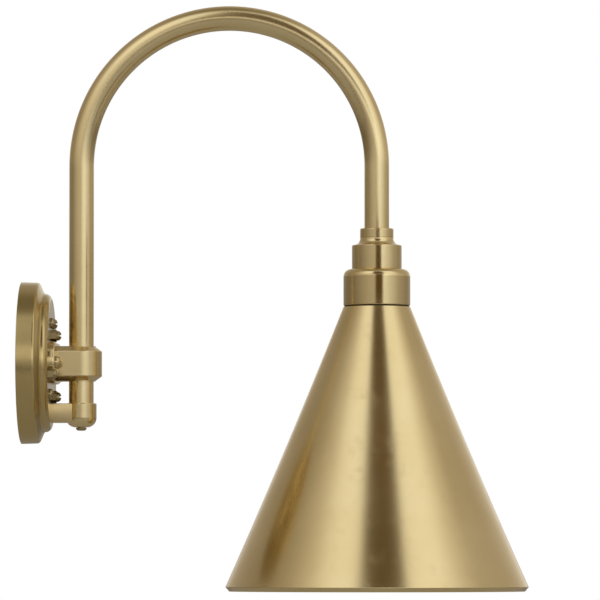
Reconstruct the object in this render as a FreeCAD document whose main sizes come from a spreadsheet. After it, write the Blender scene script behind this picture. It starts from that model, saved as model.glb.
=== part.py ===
"""Gooseneck wall sconce: stepped round backplate, swivel bracket, bent tube and cone shade.

Millimetres. The origin is the centre of the backplate's back rim on the wall. X runs out from
the wall, Z is up. The tube's lower leg turns in the bracket about a vertical axis.
"""
import FreeCAD, Part
import math
import os
import re
import Sketcher

FULL_TURN = 360
# How near an edge's radius and height must be to the wanted ones.
NEAR = 1e-4

doc = FreeCAD.newDocument("wall_sconce")
sheet = doc.addObject("Spreadsheet::Sheet", "Sizes")

# Driving dimensions, all real sizes in millimetres, angles in degrees.
SIZES = {
    # fits and gaps
    "running_gap": 0.05,
    "thread_gap": 0.05,
    "hole_gap": 0.15,
    "soft_gap": 0.3,
    "press_gap": 0.02,
    # how far a cut or hole is carried past the face that it opens on
    "overcut": 1.0,
    # backplate: a spun and turned cover in two steps
    "plate_radius": 63.5,
    "plate_draft": 0.4,
    "plate_band": 14.0,
    "plate_corner": 2.6,
    "plate_height": 23.8,
    "tier_radius": 54.3,
    "tier_rise": 5.6,
    "tier_round": 5.0,
    "lip_rise": 0.9,
    "lip_width": 1.3,
    "plate_wall": 2.2,
    # wall plate and its studs
    "mounting_radius": 54.0,
    "mounting_thickness": 2.0,
    "wire_hole_radius": 15.0,
    "box_screw_spacing": 88.9,
    "box_slot_radius": 2.4,
    "box_slot_length": 12.0,
    "stud_radius": 2.0,
    "stud_reach": 4.6,
    "stud_room": 0.2,
    # stiffener behind the backplate's face
    "stiffener_radius": 45.0,
    "stiffener_thickness": 3.0,
    # cap nuts: hexagon body and slotted dome
    "cap_nut_flats": 8.4,
    "cap_nut_hexagon": 3.8,
    "cap_nut_dome": 3.6,
    "cap_nut_ease": 3.0,
    "dome_step": 0.3,
    "top_nut_z": 21.4,
    "low_nut_z": -26.7,
    "side_nut_y": 38.9,
    "side_nut_z": -9.8,
    # slotted round-head screws
    "plate_screw_head": 4.2,
    "plate_screw_rise": 3.6,
    "plate_screw_ease": 3.2,
    "plate_screw_shank": 1.5,
    "flange_screw_head": 4.8,
    "flange_screw_rise": 4.6,
    "flange_screw_ease": 4.2,
    "flange_screw_shank": 2.0,
    "screw_tail": 1.0,
    "slot_width": 1.2,
    "slot_depth": 1.5,
    "high_screw_y": 11.0,
    "high_screw_z": 31.0,
    "low_screw_y": 26.0,
    "low_screw_z": -25.0,
    "flange_screw_y": 24.0,
    # upper bracket: flange and block
    "flange_thickness": 4.5,
    "flange_half_width": 36.0,
    "flange_half_height": 16.2,
    "flange_corner": 15.5,
    "flange_edge": 1.2,
    "block_radius": 16.2,
    "block_top": 13.0,
    "block_bottom": -14.4,
    "block_bevel_in": 5.5,
    "block_bevel_up": 3.9,
    "bush_wall": 1.5,
    "bush_inset": 0.4,
    "chamber_top": 5.2,
    "chamber_bottom": -7.2,
    # gooseneck tube and its axes
    "pivot_x": 47.0,
    "lamp_x": 279.0,
    "arc_z": 155.0,
    "tube_radius": 9.75,
    "tube_wall": 1.25,
    "tube_foot": -45.0,
    "tube_nose": 80.0,
    # swing, wire window and stop
    "swing": 70.0,
    "window_margin": 16.0,
    "stop_margin": 0.5,
    "lead_radius": 2.0,
    "lead_z": 2.0,
    "stop_pin_radius": 1.5,
    "stop_pin_z": -5.0,
    "stop_pin_length": 12.0,
    "stop_pin_tip": 0.1,
    "window_gap": 0.4,
    # threaded hollow rod through the flange, and the fitter's rod of the same stock
    "nipple_radius": 4.0,
    "nipple_bore": 2.4,
    "nipple_back": 13.0,
    "nipple_in_block": 3.9,
    "nut_flats": 14.0,
    "nut_thickness": 3.4,
    "lead_back": 6.0,
    # lower arm, pivot cup and what turns in it
    "arm_half_width": 10.0,
    "arm_top": -31.9,
    "arm_bottom": -46.9,
    "arm_edge": 0.6,
    "cup_radius": 12.0,
    "cup_top": -31.6,
    "cup_lip": 0.8,
    "cup_floor": -50.5,
    "cup_floor_round": 7.6,
    "cup_bore_gap": 0.08,
    "washer_thickness": 1.0,
    "plug_length": 12.0,
    "pivot_screw_radius": 3.0,
    "pivot_screw_head": 4.2,
    "pivot_screw_rise": 2.3,
    "pivot_screw_ease": 2.1,
    "pivot_slot_depth": 1.0,
    "pivot_screw_reach": 14.0,
    "arm_bolt_radius": 2.5,
    "arm_bolt_reach": 8.0,
    "arm_bolt_room": 0.5,
    "arm_bolt_flats": 8.0,
    "arm_bolt_head": 3.0,
    # ground screw
    "ground_y": -20.0,
    "ground_z": 22.0,
    "ground_radius": 2.0,
    "ground_flats": 8.0,
    "ground_rise": 3.0,
    # fitter, from the top down
    "collar_radius": 13.1,
    "collar_top": 105.3,
    "collar_bottom": 98.2,
    "collar_edge": 0.8,
    "neck_radius": 19.5,
    "neck_shelf": 92.2,
    "neck_cove": 5.5,
    "neck_bottom": 73.4,
    "neck_edge": 0.8,
    "cap_radius": 26.2,
    "cap_round": 5.8,
    "cap_wall": 1.5,
    "cap_roof": 3.0,
    "cap_bottom": 43.7,
    "seam_height": 1.1,
    "seam_depth": 0.9,
    "rod_length": 30.0,
    "rod_top": 88.0,
    "nose_bush_length": 10.0,
    # lampholder
    "socket_radius": 18.0,
    "socket_bottom": 14.0,
    "socket_shoulder": 2.0,
    "socket_well": 44.0,
    "shell_radius": 14.3,
    "shell_bore": 13.4,
    "shell_length": 23.2,
    "contact_radius": 3.5,
    "contact_height": 2.5,
    "ring_radius": 23.5,
    "ring_height": 4.5,
    # cone shade
    "shade_top_radius": 26.3,
    "shade_radius": 118.7,
    "shade_edge_z": -175.7,
    "shade_bottom": -179.2,
    "rim_turn": 3.1,
    "shade_wall": 1.1,
}
for row, (name, value) in enumerate(SIZES.items(), start=1):
    sheet.set("A%d" % row, name)
    sheet.set("B%d" % row, str(value))
    sheet.setAlias("B%d" % row, name)
doc.recompute()


def formula(text):
    """A size, or sum of sizes, as an expression on the sheet."""
    def cell(word):
        return "Sizes." + word.group(0) if word.group(0) in SIZES else word.group(0)
    return re.sub(r"[a-z]\w*", cell, text)


def size(text):
    """The value of such a sum."""
    return float(sheet.evalExpression(text))


def bind(piece, field, text):
    piece.setExpression(field, formula(text))


# Which way a turned piece's own axis points.
TURNS = {
    "z": FreeCAD.Rotation(),
    "x": FreeCAD.Rotation(FreeCAD.Vector(0, 1, 0), 90),
}


def place(piece, x, y, z, along="z"):
    """Put a piece's own origin at x, y, z, with its axis along z or x."""
    piece.Placement = FreeCAD.Placement(FreeCAD.Vector(size(x), size(y), size(z)), TURNS[along])
    bind(piece, "Placement.Base.x", x)
    bind(piece, "Placement.Base.y", y)
    bind(piece, "Placement.Base.z", z)


def rod(name, radius, length, x, y, z, along="z"):
    piece = doc.addObject("Part::Cylinder", name)
    bind(piece, "Radius", radius)
    bind(piece, "Height", length)
    place(piece, x, y, z, along)
    return piece


def block(name, long_x, long_y, long_z, x, y, z):
    """A box whose middle in Y is at y, and whose low corner is at x and z."""
    piece = doc.addObject("Part::Box", name)
    bind(piece, "Length", long_x)
    bind(piece, "Width", long_y)
    bind(piece, "Height", long_z)
    place(piece, x, "(%s) - (%s) / 2" % (y, long_y), z)
    return piece


def hexagon(name, flats, height, x, y, z, along="z"):
    piece = doc.addObject("Part::Prism", name)
    piece.Polygon = 6
    bind(piece, "Circumradius", "(%s) / sqrt(3)" % flats)
    bind(piece, "Height", height)
    place(piece, x, y, z, along)
    return piece


def joined(name, pieces):
    piece = doc.addObject("Part::MultiFuse", name)
    piece.Shapes = pieces
    piece.Refine = True
    return piece


def cut(name, base, tools):
    piece = doc.addObject("Part::Cut", name)
    piece.Base = base
    piece.Tool = tools[0] if len(tools) == 1 else joined(name + "_tools", tools)
    return piece


def group(name, pieces):
    piece = doc.addObject("Part::Compound", name)
    piece.Links = pieces
    return piece


def outline_sketch(body, name, plane_role, outline):
    """A closed outline of straight sides in one of the body's own planes."""
    sketch = body.newObject("Sketcher::SketchObject", name)
    planes = body.Origin.OriginFeatures
    plane = next(feature for feature in planes if feature.Role == plane_role)
    sketch.AttachmentSupport = [(plane, "")]
    sketch.MapMode = "FlatFace"
    corners = [FreeCAD.Vector(size(across), size(up), 0) for across, up in outline]
    count = len(corners)
    for index in range(count):
        side = Part.LineSegment(corners[index], corners[(index + 1) % count])
        sketch.addGeometry(side, False)
    for index in range(count):
        sketch.addConstraint(Sketcher.Constraint("Coincident", index, 2, (index + 1) % count, 1))
    for index, (across, up) in enumerate(outline):
        for kind, text, value in (("DistanceX", across, corners[index].x),
                                  ("DistanceY", up, corners[index].y)):
            number = sketch.addConstraint(Sketcher.Constraint(kind, -1, 1, index, 1, value))
            label = "%s_%d" % (kind[-1], index)
            sketch.renameConstraint(number, label)
            bind(sketch, "Constraints." + label, text)
    return sketch


def turned(name, outline, x="0", y="0", z="0", along="z"):
    """A piece turned about its own axis from an outline of (radius, height) corners."""
    body = doc.addObject("PartDesign::Body", name)
    sketch = outline_sketch(body, name + "_outline", "XZ_Plane", outline)
    turning = body.newObject("PartDesign::Revolution", name + "_turning")
    turning.Profile = sketch
    turning.ReferenceAxis = (sketch, ["V_Axis"])
    turning.Angle = FULL_TURN
    sketch.Visibility = False
    place(body, x, y, z, along)
    return body


def eased(body, kind, amount, corners):
    """Round ("Fillet") or bevel ("Chamfer") a turned piece's circles at (radius, height)."""
    doc.recompute()
    base = body.Tip
    picked = []
    for radius, height in corners:
        for number, edge in enumerate(base.Shape.Edges, start=1):
            curve = edge.Curve
            if not isinstance(curve, Part.Circle):
                continue
            if abs(curve.Radius - size(radius)) < NEAR and abs(curve.Center.z - size(height)) < NEAR:
                picked.append("Edge%d" % number)
    feature = body.newObject("PartDesign::" + kind, "%s_%s" % (body.Name, kind.lower()))
    feature.Base = (base, picked)
    bind(feature, "Radius" if kind == "Fillet" else "Size", amount)
    return body

# ---------------------------------------------------------------- wall plate and studs
# Where the four cap nuts sit on the backplate's face, as (y, z).
NUT_PLACES = [
    ("0", "top_nut_z"),
    ("0", "low_nut_z"),
    ("-side_nut_y", "side_nut_z"),
    ("side_nut_y", "side_nut_z"),
]
# Where the four plate screws sit.
SCREW_PLACES = [
    ("-high_screw_y", "high_screw_z"),
    ("high_screw_y", "high_screw_z"),
    ("-low_screw_y", "low_screw_z"),
    ("low_screw_y", "low_screw_z"),
]
FLANGE_SCREW_PLACES = [("-flange_screw_y", "0"), ("flange_screw_y", "0")]
ARM_MIDDLE = "(arm_top + arm_bottom) / 2"


def box_slot(name, y):
    """A slot through the wall plate for a wall box screw, long in Y."""
    straight = "box_slot_length - 2 * box_slot_radius"
    through = "mounting_thickness + 2 * overcut"
    ends = []
    for side in ("-", "+"):
        middle = "%s %s (%s) / 2" % (y, side, straight)
        suffix = "low" if side == "-" else "high"
        ends.append(rod(name + "_" + suffix, "box_slot_radius", through, "-overcut", middle, "0", "x"))
    web = block(name + "_web", through, straight, "2 * box_slot_radius", "-overcut", y,
                "-box_slot_radius")
    return joined(name, ends + [web])


mounting_disc = rod("mounting_disc", "mounting_radius", "mounting_thickness", "0", "0", "0", "x")
mounting_holes = [
    rod("wire_hole", "wire_hole_radius", "mounting_thickness + 2 * overcut", "-overcut", "0", "0",
        "x"),
    rod("ground_hole", "ground_radius + thread_gap", "mounting_thickness + 2 * overcut", "-overcut",
        "ground_y", "ground_z", "x"),
    box_slot("slot_left", "-box_screw_spacing / 2"),
    box_slot("slot_right", "box_screw_spacing / 2"),
]
mounting_plate = cut("mounting_plate", mounting_disc, mounting_holes)

stud_length = "plate_height + stud_reach - mounting_thickness"
mounting_studs = group("mounting_studs", [
    rod("stud_%d" % index, "stud_radius", stud_length, "mounting_thickness", y, z, "x")
    for index, (y, z) in enumerate(NUT_PLACES)
])

ground_screw = joined("ground_screw", [
    rod("ground_shank", "ground_radius", "mounting_thickness", "0", "ground_y", "ground_z", "x"),
    hexagon("ground_head", "ground_flats", "ground_rise", "mounting_thickness", "ground_y",
            "ground_z", "x"),
])

# ---------------------------------------------------------------- backplate and stiffener


def face_holes(name):
    """Holes through the backplate's face and the stiffener, for all that passes them."""
    start = "plate_height - plate_wall - stiffener_thickness - overcut"
    through = "plate_wall + stiffener_thickness + 2 * overcut"
    wanted = [("nipple", "nipple_radius", "0", "lead_z"),
              ("arm", "arm_bolt_radius", "0", ARM_MIDDLE)]
    wanted += [("stud_%d" % i, "stud_radius", y, z) for i, (y, z) in enumerate(NUT_PLACES)]
    wanted += [("screw_%d" % i, "plate_screw_shank", y, z) for i, (y, z) in enumerate(SCREW_PLACES)]
    wanted += [("flange_%d" % i, "flange_screw_shank", y, z)
               for i, (y, z) in enumerate(FLANGE_SCREW_PLACES)]
    return [rod("%s_%s_hole" % (name, what), radius + " + hole_gap", through, start, y, z, "x")
            for what, radius, y, z in wanted]


tier_foot = "plate_height - tier_rise"
backplate_blank = turned("backplate_blank", [
    ("0", "plate_height - plate_wall"),
    ("tier_radius - plate_wall", "plate_height - plate_wall"),
    ("tier_radius - plate_wall", tier_foot + " - plate_wall"),
    ("plate_radius - plate_draft - plate_wall", "plate_band - plate_wall"),
    ("plate_radius - plate_wall", "0"),
    ("plate_radius", "0"),
    ("plate_radius - plate_draft", "plate_band"),
    ("tier_radius + lip_width", tier_foot + " - lip_rise"),
    ("tier_radius", tier_foot),
    ("tier_radius", "plate_height"),
    ("0", "plate_height"),
], along="x")
eased(backplate_blank, "Fillet", "plate_corner", [("plate_radius - plate_draft", "plate_band")])
eased(backplate_blank, "Fillet", "tier_round", [("tier_radius", "plate_height")])
backplate = cut("backplate", backplate_blank, face_holes("backplate"))

stiffener_x = "plate_height - plate_wall - stiffener_thickness"
stiffener_disc = rod("stiffener_disc", "stiffener_radius", "stiffener_thickness", stiffener_x,
                     "0", "0", "x")
stiffener_plate = cut("stiffener_plate", stiffener_disc, face_holes("stiffener"))

# ---------------------------------------------------------------- screws and cap nuts


def slotted_screw(name, head, rise, ease, shank, x, y, z):
    """A round-head screw whose head sits at x and whose tail ends behind the stiffener."""
    tail = "-((%s) - (%s) + screw_tail)" % (x, stiffener_x)
    screw = turned(name + "_turned", [
        ("0", tail), (shank, tail), (shank, "0"), (head, "0"), (head, rise), ("0", rise),
    ], x, y, z, "x")
    eased(screw, "Fillet", ease, [(head, rise)])
    slot = block(name + "_slot", "slot_depth + overcut", "2 * (%s + overcut)" % head, "slot_width",
                 "(%s) + (%s) - slot_depth" % (x, rise), y, "(%s) - slot_width / 2" % z)
    return cut(name, screw, [slot])


plate_screws = group("plate_screws", [
    slotted_screw("plate_screw_%d" % index, "plate_screw_head", "plate_screw_rise",
                  "plate_screw_ease", "plate_screw_shank", "plate_height", y, z)
    for index, (y, z) in enumerate(SCREW_PLACES)
])
flange_screws = group("flange_screws", [
    slotted_screw("flange_screw_%d" % index, "flange_screw_head", "flange_screw_rise",
                  "flange_screw_ease", "flange_screw_shank", "plate_height + flange_thickness", y, z)
    for index, (y, z) in enumerate(FLANGE_SCREW_PLACES)
])


def cap_nut(name, y, z):
    """A blind hexagon nut with a slotted dome, on its stud."""
    body = hexagon(name + "_body", "cap_nut_flats", "cap_nut_hexagon", "plate_height", y, z, "x")
    dome_radius = "cap_nut_flats / 2 - dome_step"
    dome = turned(name + "_dome", [
        ("0", "0"), (dome_radius, "0"), (dome_radius, "cap_nut_dome"), ("0", "cap_nut_dome"),
    ], "plate_height + cap_nut_hexagon", y, z, "x")
    eased(dome, "Fillet", "cap_nut_ease", [(dome_radius, "cap_nut_dome")])
    top = "plate_height + cap_nut_hexagon + cap_nut_dome"
    slot = block(name + "_slot", "slot_depth + overcut", "cap_nut_flats + 2 * overcut", "slot_width",
                 top + " - slot_depth", y, "(%s) - slot_width / 2" % z)
    bore = rod(name + "_bore", "stud_radius + thread_gap", "stud_reach + stud_room + overcut",
               "plate_height - overcut", y, z, "x")
    return cut(name, joined(name + "_solid", [body, dome]), [slot, bore])


cap_nuts = group("cap_nuts", [
    cap_nut("cap_nut_%d" % index, y, z) for index, (y, z) in enumerate(NUT_PLACES)
])

# ---------------------------------------------------------------- upper bracket
# The block's section is the same along its straight sides and round its end.
block_side = [
    ("block_radius - block_bevel_in", "block_bottom"),
    ("block_radius", "block_bottom + block_bevel_up"),
    ("block_radius", "block_top - block_bevel_up"),
    ("block_radius - block_bevel_in", "block_top"),
]


def padded(name, outline, length, x, y="0", z="0"):
    """A bar along X of an outline of (y, z) corners."""
    body = doc.addObject("PartDesign::Body", name)
    sketch = outline_sketch(body, name + "_outline", "YZ_Plane", outline)
    pad = body.newObject("PartDesign::Pad", name + "_pad")
    pad.Profile = sketch
    bind(pad, "Length", length)
    sketch.Visibility = False
    place(body, x, y, z)
    return body


def round_bar(body, amount, wanted):
    """Round the edges of a padded bar for which wanted(edge) is true."""
    doc.recompute()
    base = body.Tip
    picked = ["Edge%d" % number for number, edge in enumerate(base.Shape.Edges, start=1)
              if wanted(edge)]
    feature = body.newObject("PartDesign::Fillet", body.Name + "_round")
    feature.Base = (base, picked)
    bind(feature, "Radius", amount)
    return body


flange = padded("flange", [
    ("-flange_half_width", "-flange_half_height"),
    ("flange_half_width", "-flange_half_height"),
    ("flange_half_width", "flange_half_height"),
    ("-flange_half_width", "flange_half_height"),
], "flange_thickness", "plate_height")
round_bar(flange, "flange_corner",
          lambda edge: edge.BoundBox.XLength > size("flange_thickness") / 2)
round_bar(flange, "flange_edge",
          lambda edge: edge.BoundBox.XMin > size("flange_thickness") - NEAR)

block_bar = padded(
    "block_bar",
    block_side + [("-(%s)" % across, up) for across, up in reversed(block_side)],
    "pivot_x - plate_height - flange_thickness",
    "plate_height + flange_thickness",
)
block_end = turned("block_end", [("0", "block_bottom")] + block_side + [("0", "block_top")],
                   "pivot_x")
bracket_solid = joined("bracket_solid", [flange, block_bar, block_end])
bracket_cuts = [
    rod("bush_bore", "tube_radius + running_gap + bush_wall",
        "block_top - block_bottom + 2 * overcut", "pivot_x", "0", "block_bottom - overcut"),
    rod("nipple_thread", "nipple_radius + thread_gap",
        "flange_thickness + nipple_in_block + overcut", "plate_height - overcut", "0", "lead_z", "x"),
    rod("lead_way", "nipple_bore", "pivot_x - plate_height", "plate_height", "0", "lead_z", "x"),
    rod("stop_pin_hole", "stop_pin_radius + running_gap", "pivot_x - plate_height", "plate_height",
        "0", "stop_pin_z", "x"),
]
bracket_cuts += [
    rod("flange_screw_hole_%d" % index, "flange_screw_shank + hole_gap",
        "flange_thickness + 2 * overcut", "plate_height - overcut", y, z, "x")
    for index, (y, z) in enumerate(FLANGE_SCREW_PLACES)
]
upper_bracket = cut("upper_bracket", bracket_solid, bracket_cuts)


def sleeve(name, inner, outer, bottom, top, x="pivot_x"):
    """A plain ring about a vertical axis."""
    return turned(name, [(inner, bottom), (outer, bottom), (outer, top), (inner, top)], x)


bush_bore = "tube_radius + running_gap"
bush_outer = "tube_radius + running_gap + bush_wall - press_gap"
upper_bush = sleeve("upper_bush", bush_bore, bush_outer, "chamber_top", "block_top - bush_inset")
lower_bush = sleeve("lower_bush", bush_bore, bush_outer, "block_bottom + bush_inset",
                    "chamber_bottom")

tube_bore = "tube_radius - tube_wall"
stop_pin = rod("stop_pin", "stop_pin_radius", "stop_pin_length",
               "pivot_x - (%s) + stop_pin_tip - stop_pin_length" % tube_bore, "0", "stop_pin_z",
               "x")

wire_nipple = turned("wire_nipple", [
    ("nipple_bore", "nipple_back"),
    ("nipple_radius", "nipple_back"),
    ("nipple_radius", "plate_height + flange_thickness + nipple_in_block"),
    ("nipple_bore", "plate_height + flange_thickness + nipple_in_block"),
], "0", "0", "lead_z", "x")
nipple_nut = cut(
    "nipple_nut",
    hexagon("nipple_nut_body", "nut_flats", "nut_thickness", stiffener_x + " - nut_thickness", "0",
            "lead_z", "x"),
    [rod("nipple_nut_bore", "nipple_radius + thread_gap", "nut_thickness + 2 * overcut",
         stiffener_x + " - nut_thickness - overcut", "0", "lead_z", "x")],
)
supply_lead = rod("supply_lead", "lead_radius", "pivot_x - lead_radius - soft_gap - lead_back",
                  "lead_back", "0", "lead_z", "x")

# ---------------------------------------------------------------- lower arm and pivot
arm_bar = padded("arm_bar", [
    ("-arm_half_width", "arm_bottom"),
    ("arm_half_width", "arm_bottom"),
    ("arm_half_width", "arm_top"),
    ("-arm_half_width", "arm_top"),
], "pivot_x - plate_height", "plate_height")
round_bar(arm_bar, "arm_edge",
          lambda edge: edge.BoundBox.XLength > size("pivot_x - plate_height") / 2)
cup_blank = turned("cup_blank", [
    ("0", "cup_floor"), ("cup_radius", "cup_floor"), ("cup_radius", "cup_top"), ("0", "cup_top"),
], "pivot_x")
eased(cup_blank, "Fillet", "cup_floor_round", [("cup_radius", "cup_floor")])
eased(cup_blank, "Fillet", "cup_lip", [("cup_radius", "cup_top")])
cup_bore_bottom = "tube_foot - washer_thickness"
lower_arm = cut("lower_arm", joined("arm_solid", [arm_bar, cup_blank]), [
    rod("cup_bore", "tube_radius + cup_bore_gap", "cup_top - (%s) + overcut" % cup_bore_bottom,
        "pivot_x", "0", cup_bore_bottom),
    rod("pivot_hole", "pivot_screw_radius + running_gap", "cup_top - cup_floor + overcut",
        "pivot_x", "0", "cup_floor - overcut"),
    rod("arm_thread", "arm_bolt_radius + thread_gap", "arm_bolt_reach + arm_bolt_room + overcut",
        "plate_height - overcut", "0", ARM_MIDDLE, "x"),
])
lower_arm_bolt = joined("lower_arm_bolt", [
    hexagon("arm_bolt_hexagon", "arm_bolt_flats", "arm_bolt_head", stiffener_x + " - arm_bolt_head",
            "0", ARM_MIDDLE, "x"),
    rod("arm_bolt_shank", "arm_bolt_radius", "plate_height - (%s) + arm_bolt_reach" % stiffener_x,
        stiffener_x, "0", ARM_MIDDLE, "x"),
])
thrust_washer = sleeve("thrust_washer", "pivot_screw_radius + hole_gap", "tube_radius",
                       cup_bore_bottom, "tube_foot")

screw_seat = "cup_floor - soft_gap"
foot_plug = turned("foot_plug", [
    ("pivot_screw_radius + thread_gap", "tube_foot"),
    (tube_bore + " - thread_gap", "tube_foot"),
    (tube_bore + " - thread_gap", "tube_foot + plug_length"),
    ("0", "tube_foot + plug_length"),
    ("0", screw_seat + " + pivot_screw_reach + soft_gap"),
    ("pivot_screw_radius + thread_gap", screw_seat + " + pivot_screw_reach + soft_gap"),
], "pivot_x")
pivot_screw_turned = turned("pivot_screw_turned", [
    ("0", screw_seat + " - pivot_screw_rise"),
    ("pivot_screw_head", screw_seat + " - pivot_screw_rise"),
    ("pivot_screw_head", screw_seat),
    ("pivot_screw_radius", screw_seat),
    ("pivot_screw_radius", screw_seat + " + pivot_screw_reach"),
    ("0", screw_seat + " + pivot_screw_reach"),
], "pivot_x")
eased(pivot_screw_turned, "Fillet", "pivot_screw_ease",
      [("pivot_screw_head", screw_seat + " - pivot_screw_rise")])
pivot_screw = cut("pivot_screw", pivot_screw_turned, [
    block("pivot_screw_slot", "2 * (pivot_screw_head + overcut)", "slot_width", "pivot_slot_depth",
          "pivot_x - pivot_screw_head - overcut", "0", screw_seat + " - pivot_screw_rise"),
])

# ---------------------------------------------------------------- gooseneck tube


def bent_rod(name, radius, foot, nose):
    """A round rod that runs up the pivot axis, over a half circle and down the lamp axis."""
    bend = doc.addObject("Part::Torus", name + "_bend")
    bind(bend, "Radius1", "(lamp_x - pivot_x) / 2")
    bind(bend, "Radius2", radius)
    bend.Angle3 = FULL_TURN / 2
    upright = FreeCAD.Rotation(FreeCAD.Vector(1, 0, 0), 90)
    bend.Placement = FreeCAD.Placement(FreeCAD.Vector(), upright)
    bind(bend, "Placement.Base.x", "(pivot_x + lamp_x) / 2")
    bind(bend, "Placement.Base.z", "arc_z")
    return joined(name, [
        rod(name + "_riser", radius, "arc_z - (%s)" % foot, "pivot_x", "0", foot),
        bend,
        rod(name + "_drop", radius, "arc_z - (%s)" % nose, "lamp_x", "0", nose),
    ])


def sector(name, radius, height, z, half_angle):
    """A slice about the pivot axis that opens towards the wall."""
    piece = rod(name, radius, height, "pivot_x", "0", z)
    bind(piece, "Angle", "2 * (%s)" % half_angle)
    turn = FreeCAD.Rotation(FreeCAD.Vector(0, 0, 1), FULL_TURN / 2 - size(half_angle))
    piece.Placement = FreeCAD.Placement(piece.Placement.Base, turn)
    bind(piece, "Placement.Rotation.Angle", "%d - (%s)" % (FULL_TURN / 2, half_angle))
    return piece


stop_half_angle = "swing + stop_margin + asin(stop_pin_radius / (%s)) / 1deg" % tube_bore
tube_stock = bent_rod("tube_stock", "tube_radius", "tube_foot", "tube_nose")
gooseneck_tube = cut("gooseneck_tube", tube_stock, [
    bent_rod("tube_inside", tube_bore, "tube_foot - overcut", "tube_nose - overcut"),
    sector("lead_window", "tube_radius + overcut", "2 * (lead_radius + window_gap)",
           "lead_z - lead_radius - window_gap", "swing + window_margin"),
    sector("stop_slot", "tube_radius + overcut", "2 * (stop_pin_radius + hole_gap)",
           "stop_pin_z - stop_pin_radius - hole_gap", stop_half_angle),
])

# ---------------------------------------------------------------- fitter
ring_bore = "tube_radius + thread_gap"
tube_collar = sleeve("tube_collar", ring_bore, "collar_radius", "collar_bottom", "collar_top",
                     "lamp_x")
eased(tube_collar, "Chamfer", "collar_edge", [("collar_radius", "collar_top")])

rod_hole = "nipple_radius + thread_gap"
neck_cup = turned("neck_cup", [
    (rod_hole, "neck_bottom"),
    ("neck_radius", "neck_bottom"),
    ("neck_radius", "neck_shelf"),
    ("collar_radius", "neck_shelf"),
    ("collar_radius", "collar_bottom"),
    (ring_bore, "collar_bottom"),
    (ring_bore, "tube_nose"),
    (rod_hole, "tube_nose"),
], "lamp_x")
eased(neck_cup, "Fillet", "neck_cove", [("collar_radius", "neck_shelf")])
eased(neck_cup, "Fillet", "neck_edge", [("neck_radius", "neck_shelf")])

cap_inside = "cap_radius - cap_wall"
socket_cap = turned("socket_cap", [
    (rod_hole, "neck_bottom - cap_roof"),
    (cap_inside + " - cap_round", "neck_bottom - cap_roof"),
    (cap_inside, "neck_bottom - cap_roof - cap_round"),
    (cap_inside, "cap_bottom"),
    ("cap_radius - seam_depth", "cap_bottom"),
    ("cap_radius - seam_depth", "cap_bottom + seam_height"),
    ("cap_radius", "cap_bottom + seam_height"),
    ("cap_radius", "neck_bottom"),
    (rod_hole, "neck_bottom"),
], "lamp_x")
eased(socket_cap, "Fillet", "cap_round", [("cap_radius", "neck_bottom")])

nose_bush = sleeve("nose_bush", rod_hole, tube_bore + " - thread_gap", "tube_nose",
                   "tube_nose + nose_bush_length", "lamp_x")
fitter_nipple = sleeve("fitter_nipple", "nipple_bore", "nipple_radius", "rod_top - rod_length",
                       "rod_top", "lamp_x")
nut_top = "neck_bottom - cap_roof"
fitter_nut = cut(
    "fitter_nut",
    hexagon("fitter_nut_body", "nut_flats", "nut_thickness", "lamp_x", "0",
            nut_top + " - nut_thickness"),
    [rod("fitter_nut_bore", rod_hole, "nut_thickness + 2 * overcut", "lamp_x", "0",
         nut_top + " - nut_thickness - overcut")],
)

# ---------------------------------------------------------------- lampholder and shade
socket_top = nut_top + " - nut_thickness"
well_radius = "shell_radius + thread_gap"
socket_body = turned("socket_body", [
    ("0", "socket_well"),
    (well_radius, "socket_well"),
    (well_radius, "socket_bottom"),
    ("socket_radius", "socket_bottom"),
    ("socket_radius", socket_top + " - socket_shoulder"),
    ("socket_radius - socket_shoulder", socket_top),
    (rod_hole, socket_top),
    (rod_hole, "rod_top - rod_length"),
    ("0", "rod_top - rod_length"),
], "lamp_x")
shell_top = "socket_well - contact_height - soft_gap"
screw_shell = sleeve("screw_shell", "shell_bore", "shell_radius", shell_top + " - shell_length",
                     shell_top, "lamp_x")
centre_contact = turned("centre_contact", [
    ("0", "socket_well - contact_height"),
    ("contact_radius", "socket_well - contact_height"),
    ("contact_radius", "socket_well"),
    ("0", "socket_well"),
], "lamp_x")
eased(centre_contact, "Fillet", "contact_height / 2",
      [("contact_radius", "socket_well - contact_height")])
shade_ring = sleeve("shade_ring", "socket_radius + thread_gap", "ring_radius",
                    "cap_bottom - shade_wall - ring_height", "cap_bottom - shade_wall", "lamp_x")

cone_shade = turned("cone_shade", [
    ("socket_radius + hole_gap", "cap_bottom - shade_wall"),
    ("shade_top_radius - shade_wall", "cap_bottom - shade_wall"),
    ("shade_radius - shade_wall", "shade_edge_z"),
    ("shade_radius - rim_turn - shade_wall / 2", "shade_bottom + shade_wall / 2"),
    ("shade_radius - rim_turn", "shade_bottom"),
    ("shade_radius", "shade_edge_z"),
    ("shade_top_radius", "cap_bottom"),
    ("socket_radius + hole_gap", "cap_bottom"),
], "lamp_x")

lamp_lead = bent_rod("lamp_lead", "lead_radius", "lead_z - lead_radius",
                     "rod_top - rod_length + soft_gap")

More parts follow.
